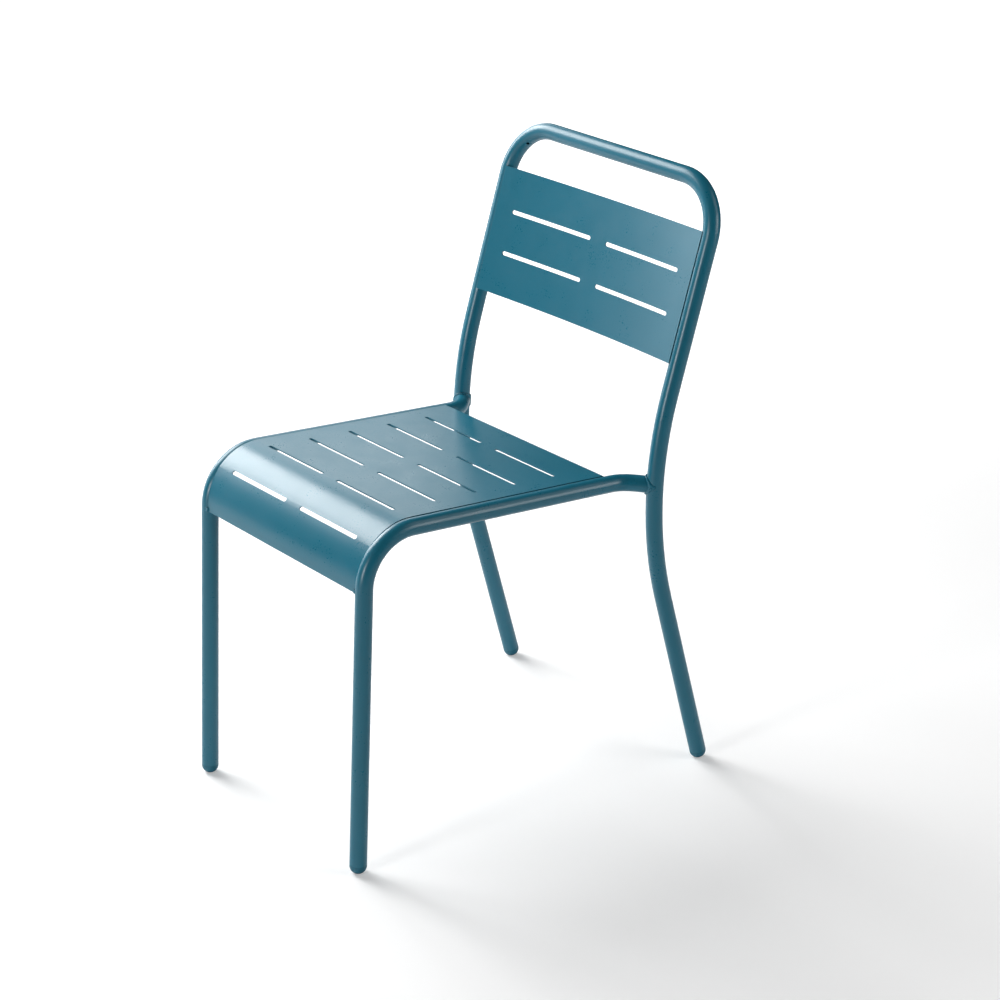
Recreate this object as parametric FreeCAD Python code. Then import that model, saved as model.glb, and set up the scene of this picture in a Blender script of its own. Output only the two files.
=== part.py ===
import FreeCAD, Part
import math
import os

from FreeCAD import Vector

# Stacking chair of bent steel tube and folded sheet.
# Units are millimetres.  +Z is up, the sitter faces -Y, +X is the sitter's left.
# The origin is on the floor in the middle of the chair's footprint.

# Tube stock
TUBE_D = 22.0
TUBE_WALL = 1.5

# Front tubes: leg, knee and seat rail in one piece
FRONT_HALF_SPACING = 168.5
FRONT_FOOT_Y = -275.0
FRONT_LEG_RAKE = 2.75
FRONT_KNEE_HEIGHT = 446.0
FRONT_KNEE_RADIUS = 67.0
RAIL_DROP = 4.3
RAIL_OUTWARD_Y = 143.6
RAIL_OUTWARD_ANGLE = 45.0
RAIL_OUTWARD_RADIUS = 42.0

# Rear hoop: both rear legs and the back rest frame in one piece
REAR_HALF_SPACING = 200.5
REAR_FOOT_Y = 263.7
REAR_KNEE_Y = 151.6
REAR_KNEE_HEIGHT = 394.5
REAR_KNEE_RADIUS = 482.0
BACK_LEAN = 17.45
HOOP_HEIGHT = 786.7
HOOP_CORNER_RADIUS = 69.0
VENT_D = 4.5
VENT_BEND_ANGLE = 50.0
VENT_FACING = 24.0

# Sheet metal
SHEET = 1.5
EDGE_FROM_TUBE_AXIS = 5.0
SLOT_WIDTH = 5.5
SLOT_INNER_X = 15.0
SLOT_CUT_DEPTH = 16.0

# Seat plate
SEAT_ABOVE_RAIL_AXIS = 11.1
APRON_BEFORE_LEG_AXIS = 8.2
APRON_BOTTOM = 373.6
SEAT_FRONT_RADIUS = 76.0
SEAT_REAR_Y = 120.8
SEAT_REAR_RADIUS = 4.0
SEAT_REAR_FLANGE = 14.0
SEAT_SLOT_OUTER_X = 134.5
SEAT_SLOT_ROWS = 6
SEAT_SLOT_PITCH = 62.2
SEAT_LAST_SLOT_FROM_REAR = 58.8

# Back panel
PANEL_BOTTOM = 181.6
PANEL_HEIGHT = 169.5
PANEL_RADIUS = 1300.0
PANEL_BEFORE_HOOP_AXIS = 11.0
PANEL_SLOT_OUTER_X = 165.6
PANEL_SLOT_ROWS = 2

# Foot glides
GLIDE_CENTRE_HEIGHT = 10.4
GLIDE_COLLAR = 1.5
GLIDE_CHAMFER = 0.3
GLIDE_STEM_CHAMFER = 1.0
GLIDE_STEM_D = 18.7
GLIDE_STEM_LENGTH = 14.0

# Welds; the seat's stitches are placed by their distance in front of its rear edge
WELD_SIZE = 1.9
STITCH_LENGTH = 26.0
SEAT_STITCHES = {"front": 338.7, "middle": 183.2, "rear": 22.0}
PANEL_STITCH_FROM_EDGE = 24.0
CORNER_WELD_LENGTH = 5.0

R = TUBE_D / 2.0
BORE_R = R - TUBE_WALL
X = Vector(1, 0, 0)
Y = Vector(0, 1, 0)
Z = Vector(0, 0, 1)


def unit(v):
    return Vector(v).multiply(1.0 / v.Length)


def bent_wire(points, radii):
    """Straight runs between the points, with a tangent arc at every inner point."""
    edges = []
    start = points[0]
    for before, corner, after, radius in zip(points, points[1:], points[2:], radii):
        a = unit(before - corner)
        b = unit(after - corner)
        half = a.getAngle(b) / 2.0
        p = corner + a * (radius / math.tan(half))
        q = corner + b * (radius / math.tan(half))
        middle = corner + unit(a + b) * (radius / math.sin(half) - radius)
        edges.append(Part.makeLine(start, p))
        edges.append(Part.Arc(p, middle, q).toShape())
        start = q
    edges.append(Part.makeLine(start, points[-1]))
    return Part.Wire(edges)


def rod(points, radii, radius):
    """Solid round bar of the given radius along a bent wire."""
    wire = bent_wire(points, radii)
    ring = Part.makeCircle(radius, points[0], points[1] - points[0])
    return wire.makePipeShell([Part.Wire([ring])], True, False)


def face_from(edges):
    """Flat face inside edges that join up, given in any order."""
    return Part.Face(Part.Wire(Part.__sortEdges__(edges)))


def prism(points, vector):
    """Straight-sided solid from the corners of a flat outline."""
    return Part.Face(Part.makePolygon(points + [points[0]])).extrude(vector)


def mirrored(shape):
    return shape.mirror(Vector(0, 0, 0), X)


def box_between(low, high):
    size = high - low
    return Part.makeBox(size.x, size.y, size.z, low)


def flat_on_floor(v):
    return Vector(v.x, v.y, 0)


def slot_cutter(centre, along, normal, length, width):
    """Round-ended slot prism, long side along X, centred on the sheet at a point."""
    half = (length - width) / 2.0
    base = centre - normal * (SLOT_CUT_DEPTH / 2.0)
    a = base - X * half
    b = base + X * half
    w = along * (width / 2.0)
    r = X * (width / 2.0)
    edges = [
        Part.makeLine(a + w, b + w),
        Part.Arc(b + w, b + r, b - w).toShape(),
        Part.makeLine(b - w, a - w),
        Part.Arc(a - w, a - r, a + w).toShape(),
    ]
    return Part.Face(Part.Wire(edges)).extrude(normal * SLOT_CUT_DEPTH)


# ---------------------------------------------------------------- frame geometry

def on_back(x, along, forward):
    """Point in the leaning back: height along the upright and distance in front of it."""
    lean = math.radians(BACK_LEAN)
    y = REAR_KNEE_Y + along * math.sin(lean) - forward * math.cos(lean)
    z = REAR_KNEE_HEIGHT + along * math.cos(lean) + forward * math.sin(lean)
    return Vector(x, y, z)


back_up = on_back(0, 1, 0) - on_back(0, 0, 0)
back_normal = on_back(0, 0, 1) - on_back(0, 0, 0)
hoop_top = (HOOP_HEIGHT - REAR_KNEE_HEIGHT) / back_up.z

leg_rake = math.radians(FRONT_LEG_RAKE)
rail_drop = math.radians(RAIL_DROP)
front_foot = Vector(FRONT_HALF_SPACING, FRONT_FOOT_Y, 0)
front_knee = front_foot + Vector(0, FRONT_KNEE_HEIGHT * math.tan(leg_rake), FRONT_KNEE_HEIGHT)
leg_up = unit(front_knee - front_foot)
rail_back = Vector(0, math.cos(rail_drop), -math.sin(rail_drop))
rail_turn = front_knee + rail_back * ((RAIL_OUTWARD_Y - front_knee.y) / rail_back.y)
outward = math.radians(RAIL_OUTWARD_ANGLE)
rail_outward = rail_back * math.cos(outward) + X * math.sin(outward)
rail_run = (REAR_HALF_SPACING - FRONT_HALF_SPACING) / rail_outward.x
rail_end = rail_turn + rail_outward * rail_run

rear_foot = Vector(REAR_HALF_SPACING, REAR_FOOT_Y, 0)
rear_knee = Vector(REAR_HALF_SPACING, REAR_KNEE_Y, REAR_KNEE_HEIGHT)
rear_leg_up = unit(rear_knee - rear_foot)


def tube_start(foot, up):
    """Lower end of a leg tube, just above its glide."""
    return foot + up * (GLIDE_CENTRE_HEIGHT / up.z + GLIDE_COLLAR)


front_path = [tube_start(front_foot, leg_up), front_knee, rail_turn, rail_end]
front_radii = [FRONT_KNEE_RADIUS, RAIL_OUTWARD_RADIUS]

left_side = [
    tube_start(rear_foot, rear_leg_up),
    rear_knee,
    on_back(REAR_HALF_SPACING, hoop_top, 0),
]
right_side = [Vector(-p.x, p.y, p.z) for p in reversed(left_side)]
hoop_path = left_side + right_side
hoop_radii = [REAR_KNEE_RADIUS, HOOP_CORNER_RADIUS, HOOP_CORNER_RADIUS, REAR_KNEE_RADIUS]


def vent_cutter():
    """Small round hole on the inside front of the hoop's upper corner."""
    bend = math.radians(VENT_BEND_ANGLE)
    facing = math.radians(VENT_FACING)
    inward = -(X * math.cos(bend) + back_up * math.sin(bend))
    corner = on_back(REAR_HALF_SPACING, hoop_top, 0)
    centre = corner - X * HOOP_CORNER_RADIUS - back_up * HOOP_CORNER_RADIUS
    on_axis = centre - inward * HOOP_CORNER_RADIUS
    direction = inward * math.cos(facing) + back_normal * math.sin(facing)
    return Part.makeCylinder(VENT_D / 2.0, TUBE_D, on_axis, direction)


hoop_outer = rod(hoop_path, hoop_radii, R)
hoop_bore = rod(hoop_path, hoop_radii, BORE_R)
vent = vent_cutter()
rear_hoop = hoop_outer.cut(hoop_bore).cut(vent).cut(mirrored(vent))

front_outer = rod(front_path, front_radii, R)
front_bore = rod(front_path, front_radii, BORE_R)
front_tube = front_outer.cut(front_bore).cut(hoop_outer)


# ---------------------------------------------------------------- seat plate

apron_offset = Vector(0, -leg_up.z, leg_up.y) * APRON_BEFORE_LEG_AXIS
seat_normal = Vector(0, math.sin(rail_drop), math.cos(rail_drop))
seat_offset = seat_normal * SEAT_ABOVE_RAIL_AXIS


def flat(v):
    return Vector(0, v.y, v.z)


def crossing(p, d, q, e):
    """Where the line through p along d meets the line through q along e, seen along X."""
    t = ((q.y - p.y) * e.z - (q.z - p.z) * e.y) / (d.y * e.z - d.z * e.y)
    return p + d * t


apron_line = flat(front_foot) + apron_offset
seat_line = flat(front_knee) + seat_offset
seat_corner = crossing(apron_line, leg_up, seat_line, rail_back)
apron_low = apron_line + leg_up * ((APRON_BOTTOM - apron_line.z) / leg_up.z)
seat_rear = seat_line + rail_back * ((SEAT_REAR_Y - seat_line.y) / rail_back.y)
flange_low = seat_rear - seat_normal * SEAT_REAR_FLANGE


def sheet_outline(points, radii, thickness):
    """Closed outline of a folded sheet whose outer face follows the points."""
    ways = [unit(b - a) for a, b in zip(points, points[1:])]
    normals = [Vector(0, w.z, -w.y) for w in ways]
    inner = [points[0] + normals[0] * thickness]
    for corner, n, m in zip(points[1:-1], normals, normals[1:]):
        inner.append(corner + (n + m) * (thickness / (1.0 + n.dot(m))))
    inner.append(points[-1] + normals[-1] * thickness)
    outer_wire = bent_wire(points, radii)
    inner_wire = bent_wire(inner, [r - thickness for r in radii])
    caps = [Part.makeLine(points[0], inner[0]), Part.makeLine(points[-1], inner[-1])]
    return face_from(outer_wire.Edges + inner_wire.Edges + caps)


def folded_sheet(points, radii, thickness, half_width):
    face = sheet_outline(points, radii, thickness)
    face.translate(X * -half_width)
    return face.extrude(X * (2.0 * half_width))


seat_points = [apron_low, seat_corner, seat_rear, flange_low]
seat_radii = [SEAT_FRONT_RADIUS, SEAT_REAR_RADIUS]
seat_half_width = FRONT_HALF_SPACING - EDGE_FROM_TUBE_AXIS
seat_blank = folded_sheet(seat_points, seat_radii, SHEET, seat_half_width)

seat_curve = bent_wire(seat_points, seat_radii)


def along_seat(distance):
    """Point and normal of the seat's outer face at a distance in front of its rear edge."""
    edges = seat_curve.Edges
    left = distance - (seat_rear - edges[2].Vertexes[1].Point).Length
    if left <= edges[2].Length:
        return edges[2].Vertexes[1].Point - rail_back * left, seat_normal
    left -= edges[2].Length
    angle = left / SEAT_FRONT_RADIUS
    start = edges[2].Vertexes[0].Point
    centre = start - seat_normal * SEAT_FRONT_RADIUS
    normal = seat_normal * math.cos(angle) - rail_back * math.sin(angle)
    return centre + normal * SEAT_FRONT_RADIUS, normal


seat_slot_length = SEAT_SLOT_OUTER_X - SLOT_INNER_X
seat_slot_x = (SEAT_SLOT_OUTER_X + SLOT_INNER_X) / 2.0
seat_cutters = []
for row in range(SEAT_SLOT_ROWS):
    point, normal = along_seat(SEAT_LAST_SLOT_FROM_REAR + row * SEAT_SLOT_PITCH)
    tangent = X.cross(normal)
    for side in (-1, 1):
        centre = point + X * (side * seat_slot_x)
        seat_cutters.append(slot_cutter(centre, tangent, normal, seat_slot_length, SLOT_WIDTH))

seat_plate = seat_blank.cut(seat_cutters).cut([front_outer, mirrored(front_outer)])


# ---------------------------------------------------------------- back panel

panel_half_width = REAR_HALF_SPACING - EDGE_FROM_TUBE_AXIS


def panel_slab(front_gap, thickness, half_width):
    """Curved slab behind the panel's front face, over the panel's full height."""
    radii = (PANEL_RADIUS + front_gap, PANEL_RADIUS + front_gap + thickness)
    forward = PANEL_BEFORE_HOOP_AXIS + math.sqrt(PANEL_RADIUS ** 2 - panel_half_width ** 2)
    edges = []
    ends = []
    for radius in radii:
        reach = forward - math.sqrt(radius ** 2 - half_width ** 2)
        a = on_back(-half_width, PANEL_BOTTOM, reach)
        b = on_back(half_width, PANEL_BOTTOM, reach)
        edges.append(Part.Arc(a, on_back(0, PANEL_BOTTOM, forward - radius), b).toShape())
        ends.append((a, b))
    edges.append(Part.makeLine(ends[0][0], ends[1][0]))
    edges.append(Part.makeLine(ends[0][1], ends[1][1]))
    return face_from(edges).extrude(back_up * PANEL_HEIGHT)


panel_slot_length = PANEL_SLOT_OUTER_X - SLOT_INNER_X
panel_slot_x = (PANEL_SLOT_OUTER_X + SLOT_INNER_X) / 2.0
panel_cutters = []
for row in range(1, PANEL_SLOT_ROWS + 1):
    height = PANEL_BOTTOM + PANEL_HEIGHT * row / (PANEL_SLOT_ROWS + 1)
    for side in (-1, 1):
        centre = on_back(side * panel_slot_x, height, 0)
        panel_cutters.append(slot_cutter(centre, back_up, back_normal, panel_slot_length, SLOT_WIDTH))

back_panel = panel_slab(0, SHEET, panel_half_width).cut(panel_cutters).cut(hoop_outer)


# ---------------------------------------------------------------- foot glides

def glide(foot, up):
    """Domed end plug: stem in the tube, collar flush with it, small flat on the floor."""
    stem_r = GLIDE_STEM_D / 2.0
    top = GLIDE_COLLAR + GLIDE_STEM_LENGTH
    corners = [
        Vector(R, 0, 0),
        Vector(R, 0, GLIDE_COLLAR - GLIDE_CHAMFER),
        Vector(R - GLIDE_CHAMFER, 0, GLIDE_COLLAR),
        Vector(stem_r, 0, GLIDE_COLLAR),
        Vector(stem_r, 0, top - GLIDE_STEM_CHAMFER),
        Vector(stem_r - GLIDE_STEM_CHAMFER, 0, top),
        Vector(0, 0, top),
        Vector(0, 0, -R),
    ]
    edges = [Part.makeLine(a, b) for a, b in zip(corners, corners[1:])]
    low = math.sqrt(0.5) * R
    edges.append(Part.Arc(corners[-1], Vector(low, 0, -low), corners[0]).toShape())
    plug = Part.Face(Part.Wire(edges)).revolve(Vector(0, 0, 0), Z, 360)
    turn = FreeCAD.Rotation(Z, up)
    centre = foot + up * (GLIDE_CENTRE_HEIGHT / up.z)
    plug.Placement = FreeCAD.Placement(centre, turn)
    reach = Vector(TUBE_D, TUBE_D, 0)
    below_floor = box_between(flat_on_floor(centre) - reach - Z * TUBE_D, flat_on_floor(centre) + reach)
    return plug.cut(below_floor)


# ---------------------------------------------------------------- welds

def slice_along(point, direction, length):
    """Flat slab square to a direction, used to pick out a length of seam beside a tube."""
    side = unit(direction.cross(X)) * TUBE_D
    across = X * TUBE_D
    a = point - direction * (length / 2.0)
    corners = [a - side - across, a + side - across, a + side + across, a - side + across]
    return prism(corners, direction * length)


rail_joint_sleeve = rod([rail_turn, rail_end], [], R + WELD_SIZE)
hoop_sleeve = rod(hoop_path, hoop_radii, R + WELD_SIZE)
rail_weld = rail_joint_sleeve.common(hoop_sleeve).cut([front_outer, hoop_outer])

front_sleeve = rod(front_path, front_radii, R + WELD_SIZE)
under_seat = folded_sheet(seat_points[:3], [SEAT_FRONT_RADIUS], SHEET + WELD_SIZE, seat_half_width)
seat_seam = under_seat.common(front_sleeve).cut([front_outer, seat_plate, seat_blank])


def seat_stitch(distance):
    point, normal = along_seat(distance)
    centre = point + X * FRONT_HALF_SPACING
    return seat_seam.common(slice_along(centre, normal.cross(X), STITCH_LENGTH))


def seat_corner_bead():
    """Bead between the apron's outer face and the leg, at the apron's lower edge."""
    inner = apron_low + X * (FRONT_HALF_SPACING - TUBE_D)
    outer = apron_low + X * FRONT_HALF_SPACING
    proud = unit(apron_offset) * WELD_SIZE
    block = prism([inner, outer, outer + proud, inner + proud], leg_up * CORNER_WELD_LENGTH)
    return block.common(front_sleeve).cut(front_outer)


panel_seam = panel_slab(SHEET, WELD_SIZE, panel_half_width).common(hoop_sleeve)
panel_seam = panel_seam.cut([hoop_outer, back_panel])


def panel_stitch(height):
    centre = on_back(REAR_HALF_SPACING, height, 0)
    return panel_seam.common(slice_along(centre, back_up, STITCH_LENGTH))


# ---------------------------------------------------------------- the chair

parts = {
    "rear_hoop": rear_hoop,
    "seat_plate": seat_plate,
    "back_panel": back_panel,
}
paired = {
    "front_tube": front_tube,
    "glide_front": glide(front_foot, leg_up),
    "glide_rear": glide(rear_foot, rear_leg_up),
    "weld_rail": rail_weld,
    "weld_seat_corner": seat_corner_bead(),
    "weld_panel_lower": panel_stitch(PANEL_BOTTOM + PANEL_STITCH_FROM_EDGE),
    "weld_panel_upper": panel_stitch(PANEL_BOTTOM + PANEL_HEIGHT - PANEL_STITCH_FROM_EDGE),
}
for place, distance in SEAT_STITCHES.items():
    paired["weld_seat_" + place] = seat_stitch(distance)
for name, shape in paired.items():
    parts[name + "_left"] = shape
    parts[name + "_right"] = mirrored(shape)

os.makedirs("parts", exist_ok=True)
for name, shape in parts.items():
    solid = shape.Solids[0] if len(shape.Solids) == 1 else shape
    print(name, len(shape.Solids), solid.isValid(), round(solid.Volume, 1))
    solid.exportStep("parts/" + name + ".step")
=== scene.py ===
import math

import bmesh
import bpy
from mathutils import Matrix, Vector


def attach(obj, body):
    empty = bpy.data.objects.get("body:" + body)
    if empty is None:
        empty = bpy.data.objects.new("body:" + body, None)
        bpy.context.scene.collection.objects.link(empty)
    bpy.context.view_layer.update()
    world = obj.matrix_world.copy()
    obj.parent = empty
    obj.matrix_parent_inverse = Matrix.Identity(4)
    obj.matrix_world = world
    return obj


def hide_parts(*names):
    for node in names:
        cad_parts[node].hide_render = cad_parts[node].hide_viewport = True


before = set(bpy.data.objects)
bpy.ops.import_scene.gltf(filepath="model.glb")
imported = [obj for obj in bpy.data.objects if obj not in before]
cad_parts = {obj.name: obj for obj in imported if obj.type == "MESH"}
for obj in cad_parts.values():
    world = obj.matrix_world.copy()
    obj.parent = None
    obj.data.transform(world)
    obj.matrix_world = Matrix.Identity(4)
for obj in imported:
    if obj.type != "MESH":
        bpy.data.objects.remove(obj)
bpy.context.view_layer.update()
MM = 0.001


def link(obj):
    bpy.context.scene.collection.objects.link(obj)
    return obj


def box_size(points):
    low = Vector([min(p[i] for p in points) for i in range(3)])
    high = Vector([max(p[i] for p in points) for i in range(3)])
    return high - low


# ---------------------------------------------------------------- camera

CAMERA_AZIMUTH = 51.68
CAMERA_ELEVATION = 22.42
CAMERA_DISTANCE = 3.4624
CAMERA_LENS = 97.2
SENSOR = 36.0
CAMERA_AIM = Vector((0.0500, 0.0424, 0.3787))


def direction(azimuth, elevation):
    """Unit vector from the chair towards a viewer; azimuth 0 stands in front, at -Y."""
    a = math.radians(azimuth)
    e = math.radians(elevation)
    return Vector((math.sin(a) * math.cos(e), -math.cos(a) * math.cos(e), math.sin(e)))


def aim(obj, place, target):
    obj.location = place
    obj.rotation_euler = (target - place).to_track_quat("-Z", "Y").to_euler()


def add_camera():
    data = bpy.data.cameras.new("camera")
    data.lens = CAMERA_LENS
    data.sensor_width = SENSOR
    camera = link(bpy.data.objects.new("camera", data))
    toward = direction(CAMERA_AZIMUTH, CAMERA_ELEVATION)
    aim(camera, CAMERA_AIM + toward * CAMERA_DISTANCE, CAMERA_AIM)
    bpy.context.scene.camera = camera


# ---------------------------------------------------------------- studio

LIT_POINT = Vector((0, 0, 0.45))
FLOOR_SIZE = 60.0
FLOOR_COLOR = (0.76, 0.76, 0.76)
FLOOR_ROUGHNESS = 0.7
# How brightly the floor glows for the camera only, near the chair and far from it
FLOOR_LIFT_NEAR = 0.28
FLOOR_LIFT_FAR = 1.0
FLOOR_LIFT_START = 0.8
FLOOR_LIFT_END = 3.4
# The surroundings' brightness as the chair sees it, and as the camera sees it
WORLD_FILL = 0.02
WORLD_SEEN = 1.0

# name: azimuth, elevation, distance, width, height, radiance
SOFTBOXES = {
    "key": (-76, 43, 3.2, 2.1, 1.7, 8.0),
    "key_low": (-84, 30, 3.2, 1.6, 0.8, 8.5),
    "left": (-78, 16, 3.2, 0.9, 1.3, 8.5),
    "left_low": (-66, 9, 3.2, 0.9, 1.5, 2.0),
    "back": (-112, 24, 1.6, 1.0, 0.7, 2.5),
    "front_streak": (5, 13, 8.0, 1.5, 2.8, 18.0),
    "right": (127, 16, 3.2, 1.3, 1.4, 5.0),
    "right_high": (142, 44, 3.0, 1.2, 1.2, 1.5),
}


def add_softbox(name, azimuth, elevation, distance, width, height, radiance):
    """Rectangular softbox that faces the chair; radiance 1 would render as white."""
    data = bpy.data.lights.new(name, "AREA")
    data.shape = "RECTANGLE"
    data.size = width
    data.size_y = height
    data.energy = radiance * math.pi * width * height
    light = link(bpy.data.objects.new(name, data))
    light.visible_camera = False
    aim(light, LIT_POINT + direction(azimuth, elevation) * distance, LIT_POINT)


def add_world():
    """Dim surroundings for the chair, pale ones for the eye."""
    world = bpy.data.worlds.new("studio")
    world.use_nodes = True
    nodes = world.node_tree.nodes
    links = world.node_tree.links
    path = nodes.new("ShaderNodeLightPath")
    strength = nodes.new("ShaderNodeMapRange")
    strength.inputs["To Min"].default_value = WORLD_FILL
    strength.inputs["To Max"].default_value = WORLD_SEEN
    links.new(path.outputs["Is Camera Ray"], strength.inputs["Value"])
    nodes["Background"].inputs["Color"].default_value = (1, 1, 1, 1)
    links.new(strength.outputs["Result"], nodes["Background"].inputs["Strength"])
    bpy.context.scene.world = world


def floor_material():
    """Pale paper, lit by the softboxes, with a glow that only the camera sees, stronger further out."""
    material = bpy.data.materials.new("floor")
    material.use_nodes = True
    nodes = material.node_tree.nodes
    links = material.node_tree.links
    shader = nodes["Principled BSDF"]
    shader.inputs["Base Color"].default_value = (*FLOOR_COLOR, 1)
    shader.inputs["Roughness"].default_value = FLOOR_ROUGHNESS
    shader.inputs["Emission Color"].default_value = (1, 1, 1, 1)
    place = nodes.new("ShaderNodeTexCoord")
    distance = nodes.new("ShaderNodeVectorMath")
    distance.operation = "LENGTH"
    links.new(place.outputs["Object"], distance.inputs[0])
    lift = nodes.new("ShaderNodeMapRange")
    lift.interpolation_type = "SMOOTHERSTEP"
    lift.inputs["From Min"].default_value = FLOOR_LIFT_START
    lift.inputs["From Max"].default_value = FLOOR_LIFT_END
    lift.inputs["To Min"].default_value = FLOOR_LIFT_NEAR
    lift.inputs["To Max"].default_value = FLOOR_LIFT_FAR
    links.new(distance.outputs["Value"], lift.inputs["Value"])
    path = nodes.new("ShaderNodeLightPath")
    seen = nodes.new("ShaderNodeMath")
    seen.operation = "MULTIPLY"
    links.new(lift.outputs["Result"], seen.inputs[0])
    links.new(path.outputs["Is Camera Ray"], seen.inputs[1])
    links.new(seen.outputs["Value"], shader.inputs["Emission Strength"])
    return material


def add_floor():
    half = FLOOR_SIZE / 2
    mesh = bpy.data.meshes.new("floor")
    corners = [(-half, -half, 0), (half, -half, 0), (half, half, 0), (-half, half, 0)]
    mesh.from_pydata(corners, [], [(0, 1, 2, 3)])
    mesh.materials.append(floor_material())
    link(bpy.data.objects.new("floor", mesh))


# ---------------------------------------------------------------- materials

PAINT = (0.010, 0.146, 0.219)
GLIDE_COLOR = (0.009, 0.125, 0.190)

# Painted shade in crevices: how far the darkening of the colour reaches, how dark it gets, and between
# which openness it fades
PAINTED_SHADE_REACH = 3.5 * MM
PAINTED_SHADE_DARKEST = 0.12
PAINTED_SHADE_FADE = (0.25, 0.85)
PAINTED_SHADE_SAMPLES = 8

# The middle part of a noise's values that is stretched to the full range: the narrower, the harder
SOFT = (0.25, 0.75)
FIRM = (0.3, 0.7)
HARD = (0.4, 0.6)

# Powder coat, in layers from the widest to the finest
COAT_IOR = 1.5
DRIFT_SIZE = 110 * MM
DRIFT_SHARE = 0.7
GLOSS_PATCH_SIZE = 32 * MM
GLOSS_VARIATION = 0.03
SPARKLE_SIZE = 2.2 * MM
SPARKLE_VARIATION = 0.03
SPECK_SIZE = 1.1 * MM
SPECK_SHARE = 0.3
GRAIN_SIZE = 0.9 * MM
GRAIN_DEPTH = 0.012 * MM

# Glide plastic; the wear is full at the lower height and gone at the upper one
GLIDE_IOR = 1.47
GLIDE_WEAR_HEIGHTS = (0.5 * MM, 5.0 * MM)
GLIDE_WEAR_PATCH = 1.6 * MM
GLIDE_WEAR_DEPTH = 0.03 * MM
GLIDE_WEAR_PALER = 2.2
GLIDE_ROUGHNESS = 0.44
GLIDE_WORN_ROUGHNESS = 0.68
GLIDE_GRAIN_SIZE = 0.35 * MM
GLIDE_GRAIN_DEPTH = 0.006 * MM


class Finish:
    """Small helper that builds a node material out of noise layers in real sizes."""

    def __init__(self, name):
        self.material = bpy.data.materials.new(name)
        self.material.use_nodes = True
        self.nodes = self.material.node_tree.nodes
        self.links = self.material.node_tree.links
        self.shader = self.nodes["Principled BSDF"]
        self.place = self.nodes.new("ShaderNodeTexCoord").outputs["Object"]
        self.normal = None

    def noise(self, size, detail=3.0, distortion=0.0):
        """Noise whose features are about this size, in metres."""
        noise = self.nodes.new("ShaderNodeTexNoise")
        noise.inputs["Scale"].default_value = 1.0 / size
        noise.inputs["Detail"].default_value = detail
        noise.inputs["Distortion"].default_value = distortion
        self.links.new(self.place, noise.inputs["Vector"])
        return noise.outputs["Fac"]

    def span(self, value, low, high, start=0.0, end=1.0):
        """Maps start..end of a value to low..high."""
        spread = self.nodes.new("ShaderNodeMapRange")
        spread.inputs["From Min"].default_value = start
        spread.inputs["From Max"].default_value = end
        spread.inputs["To Min"].default_value = low
        spread.inputs["To Max"].default_value = high
        self.links.new(value, spread.inputs["Value"])
        return spread.outputs["Result"]

    def combine(self, operation, a, b):
        math_node = self.nodes.new("ShaderNodeMath")
        math_node.operation = operation
        self.links.new(a, math_node.inputs[0])
        self.links.new(b, math_node.inputs[1])
        return math_node.outputs["Value"]

    def blend(self, amount, color_a, color_b):
        """Colour between two, by an amount from 0 to 1."""
        ramp = self.nodes.new("ShaderNodeValToRGB")
        ramp.color_ramp.elements[0].color = (*color_a, 1)
        ramp.color_ramp.elements[1].color = (*color_b, 1)
        self.links.new(amount, ramp.inputs["Fac"])
        return ramp.outputs["Color"]

    def painted_crevice_shade(self, color):
        """Paints shade into a colour: darkens it in narrow crevices, by ambient occlusion."""
        crevice = self.nodes.new("ShaderNodeAmbientOcclusion")
        crevice.samples = PAINTED_SHADE_SAMPLES
        crevice.inputs["Distance"].default_value = PAINTED_SHADE_REACH
        # painted shade: the colour is scaled down where ambient occlusion finds surfaces close by
        painted_shade_factor = self.span(crevice.outputs["AO"], PAINTED_SHADE_DARKEST, 1.0, *PAINTED_SHADE_FADE)
        shaded = self.nodes.new("ShaderNodeVectorMath")
        shaded.operation = "SCALE"
        self.links.new(color, shaded.inputs["Vector"])
        self.links.new(painted_shade_factor, shaded.inputs["Scale"])
        return shaded.outputs["Vector"]

    def relief(self, height, depth):
        """Adds a bump layer this deep, in metres, over the layers before it."""
        bump = self.nodes.new("ShaderNodeBump")
        bump.inputs["Strength"].default_value = 1.0
        bump.inputs["Distance"].default_value = depth
        self.links.new(height, bump.inputs["Height"])
        if self.normal is not None:
            self.links.new(self.normal, bump.inputs["Normal"])
        self.normal = bump.outputs["Normal"]

    def finish(self, color, roughness):
        self.links.new(color, self.shader.inputs["Base Color"])
        self.links.new(roughness, self.shader.inputs["Roughness"])
        if self.normal is not None:
            self.links.new(self.normal, self.shader.inputs["Normal"])
        return self.material


def shade(color, factor):
    return tuple(c * factor for c in color)


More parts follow.
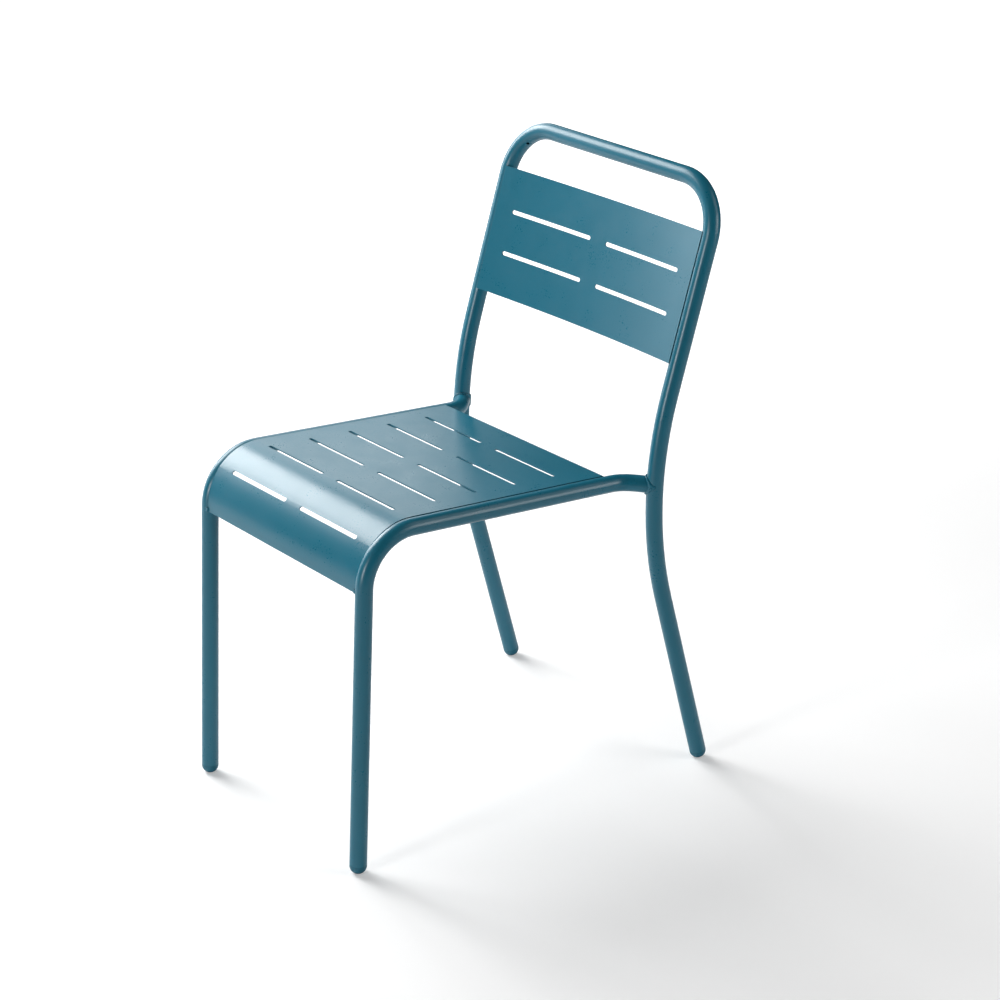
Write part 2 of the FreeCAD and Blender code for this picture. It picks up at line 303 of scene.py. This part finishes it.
def powder_coat(name, roughness, peel_size, peel_depth, tone):
    """Satin powder coat: orange peel, a finer grain, faint drifts of tone and gloss, and painted shade in
    its crevices.
    """
    coat = Finish(name)
    drift = coat.span(coat.noise(DRIFT_SIZE, detail=4.0), 0.0, 1.0, *FIRM)
    speck = coat.span(coat.noise(SPECK_SIZE, detail=2.0), 0.0, 1.0, *SOFT)
    drift_part = coat.span(drift, 0.0, DRIFT_SHARE)
    speck_part = coat.span(speck, 0.0, SPECK_SHARE)
    mixed = coat.combine("ADD", drift_part, speck_part)
    color = coat.blend(mixed, shade(PAINT, 1.0 - tone), shade(PAINT, 1.0 + tone))
    dullest = roughness + GLOSS_VARIATION
    glossiest = roughness - GLOSS_VARIATION
    gloss = coat.span(coat.noise(GLOSS_PATCH_SIZE, detail=6.0), glossiest, dullest, *SOFT)
    sparkle = coat.noise(SPARKLE_SIZE, detail=2.0)
    sparkle = coat.span(sparkle, -SPARKLE_VARIATION, SPARKLE_VARIATION, *FIRM)
    gloss = coat.combine("ADD", gloss, sparkle)
    coat.relief(coat.noise(peel_size, detail=3.0, distortion=0.4), peel_depth)
    coat.relief(coat.noise(GRAIN_SIZE, detail=1.0), GRAIN_DEPTH)
    coat.shader.inputs["IOR"].default_value = COAT_IOR
    # the base colour gets painted shade in its crevices
    return coat.finish(coat.painted_crevice_shade(color), gloss)


def frame_paint():
    return powder_coat("frame_paint", roughness=0.31, peel_size=2.4 * MM, peel_depth=0.06 * MM, tone=0.04)


def sheet_paint():
    return powder_coat("sheet_paint", roughness=0.31, peel_size=2.6 * MM, peel_depth=0.075 * MM, tone=0.04)


def weld_paint():
    """The same coat lying thicker and glossier over the beads."""
    return powder_coat("weld_paint", roughness=0.28, peel_size=1.5 * MM, peel_depth=0.08 * MM, tone=0.08)


def glide_plastic():
    """Moulded plastic with a spark-eroded grain, rubbed paler and duller where it meets the floor, with
    painted shade in its crevices.
    """
    plastic = Finish("glide_plastic")
    split = plastic.nodes.new("ShaderNodeSeparateXYZ")
    plastic.links.new(plastic.place, split.inputs["Vector"])
    near_floor = plastic.span(split.outputs["Z"], 1.0, 0.0, *GLIDE_WEAR_HEIGHTS)
    patches = plastic.noise(GLIDE_WEAR_PATCH, detail=4.0, distortion=1.5)
    patches = plastic.span(patches, 0.0, 1.0, *HARD)
    worn = plastic.combine("MULTIPLY", near_floor, patches)
    color = plastic.blend(worn, GLIDE_COLOR, shade(GLIDE_COLOR, GLIDE_WEAR_PALER))
    roughness = plastic.span(worn, GLIDE_ROUGHNESS, GLIDE_WORN_ROUGHNESS)
    plastic.relief(plastic.noise(GLIDE_GRAIN_SIZE, detail=2.0), GLIDE_GRAIN_DEPTH)
    plastic.relief(worn, GLIDE_WEAR_DEPTH)
    plastic.shader.inputs["IOR"].default_value = GLIDE_IOR
    # the base colour gets painted shade in its crevices
    return plastic.finish(plastic.painted_crevice_shade(color), roughness)


# ---------------------------------------------------------------- pieces made here

SAME_POINT = 0.001 * MM
EASED_EDGE = 0.28 * MM
EASED_SEGMENTS = 2
FLAT_TOLERANCE = 0.5
CUT_EDGE_ANGLES = (75.0, 105.0)
SHARP_ANGLE = 55.0
BEAD_VOXEL = 0.25 * MM
BEAD_PITCH = 1.7 * MM
BEAD_RIPPLE = 0.2 * MM
# This share of the ripples' height lies below the plain bead's surface
BEAD_VALLEY_SHARE = 0.3
BEAD_SOFTENING = 0.5
BEAD_SOFTENING_PASSES = 4


def replace_node(node_name, piece):
    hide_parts(node_name)
    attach(piece, "root")


def with_modifiers(obj):
    """Applies an object's modifiers to its mesh."""
    depsgraph = bpy.context.evaluated_depsgraph_get()
    mesh = bpy.data.meshes.new_from_object(obj.evaluated_get(depsgraph))
    obj.modifiers.clear()
    obj.data = mesh


def eased_sheet(node_name, piece_name):
    """Copy of a sheet with its cut edges eased, as deburring and the coat leave them."""
    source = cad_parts[node_name]
    sheet = bmesh.new()
    sheet.from_mesh(source.data)
    bmesh.ops.remove_doubles(sheet, verts=sheet.verts, dist=SAME_POINT)
    flat = math.radians(FLAT_TOLERANCE)
    bmesh.ops.dissolve_limit(sheet, angle_limit=flat, verts=sheet.verts, edges=sheet.edges)
    low, high = [math.radians(a) for a in CUT_EDGE_ANGLES]
    cut_edges = [e for e in sheet.edges if low < e.calc_face_angle() < high]
    bmesh.ops.bevel(sheet, geom=cut_edges, offset=EASED_EDGE, offset_type="OFFSET",
                    segments=EASED_SEGMENTS, profile=0.5, affect="EDGES", clamp_overlap=True)
    for face in sheet.faces:
        face.smooth = True
    for edge in sheet.edges:
        edge.smooth = edge.calc_face_angle() < math.radians(SHARP_ANGLE)
    mesh = bpy.data.meshes.new(piece_name)
    sheet.to_mesh(mesh)
    sheet.free()
    piece = link(bpy.data.objects.new(piece_name, mesh))
    normals = piece.modifiers.new("normals", "WEIGHTED_NORMAL")
    normals.mode = "FACE_AREA"
    normals.keep_sharp = True
    with_modifiers(piece)
    replace_node(node_name, piece)
    return piece


def straight_seam(points):
    """Distance along a bead that runs straight in the plane across X."""
    size = box_size(points)
    along = Vector((0, size.y, size.z)).normalized()
    return lambda point: point.dot(along)


def ring_seam(points):
    """Distance round the rail's end, for a bead that goes right round it."""
    centre = sum(points, Vector()) / len(points)
    side = math.copysign(1.0, centre.x)
    axis = Vector((side, 1.0, 0.0)).normalized()
    across = axis.cross(Vector((0, 0, 1)))
    radius = box_size(points).z / 2
    return lambda point: radius * math.atan2((point - centre).z, (point - centre).dot(across))


def rippled_bead(node_name, seam):
    """Weld bead with rounded ends and the overlapping scallops of a hand-run weld."""
    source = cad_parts[node_name]
    piece = link(bpy.data.objects.new(node_name + "_bead", source.data.copy()))
    remesh = piece.modifiers.new("remesh", "REMESH")
    remesh.mode = "VOXEL"
    remesh.voxel_size = BEAD_VOXEL
    soften = piece.modifiers.new("soften", "SMOOTH")
    soften.factor = BEAD_SOFTENING
    soften.iterations = BEAD_SOFTENING_PASSES
    with_modifiers(piece)
    along = seam([v.co.copy() for v in source.data.vertices])
    outward = [vertex.normal.copy() for vertex in piece.data.vertices]
    for vertex, normal in zip(piece.data.vertices, outward):
        crest = abs(math.sin(math.pi * along(vertex.co) / BEAD_PITCH))
        vertex.co += normal * (BEAD_RIPPLE * (crest - BEAD_VALLEY_SHARE))
    for polygon in piece.data.polygons:
        polygon.use_smooth = True
    replace_node(node_name, piece)
    return piece


# ---------------------------------------------------------------- the scene

add_camera()
add_world()
add_floor()
for softbox_name, softbox in SOFTBOXES.items():
    add_softbox(softbox_name, *softbox)
bpy.context.scene.view_settings.view_transform = "Standard"

finishes = {
    "frame_paint": frame_paint(),
    "sheet_paint": sheet_paint(),
    "weld_paint": weld_paint(),
    "glide_plastic": glide_plastic(),
}

chair = []
for node_name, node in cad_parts.items():
    if node_name in ("seat_plate", "back_panel"):
        chair.append((eased_sheet(node_name, node_name + "_sheet"), "sheet_paint"))
    elif node_name.startswith("weld_rail"):
        chair.append((rippled_bead(node_name, ring_seam), "weld_paint"))
    elif node_name.startswith("weld"):
        chair.append((rippled_bead(node_name, straight_seam), "weld_paint"))
    elif node_name.startswith("glide"):
        chair.append((node, "glide_plastic"))
    else:
        chair.append((node, "frame_paint"))

for piece, finish_name in chair:
    piece.data.materials.clear()
    piece.data.materials.append(finishes[finish_name])
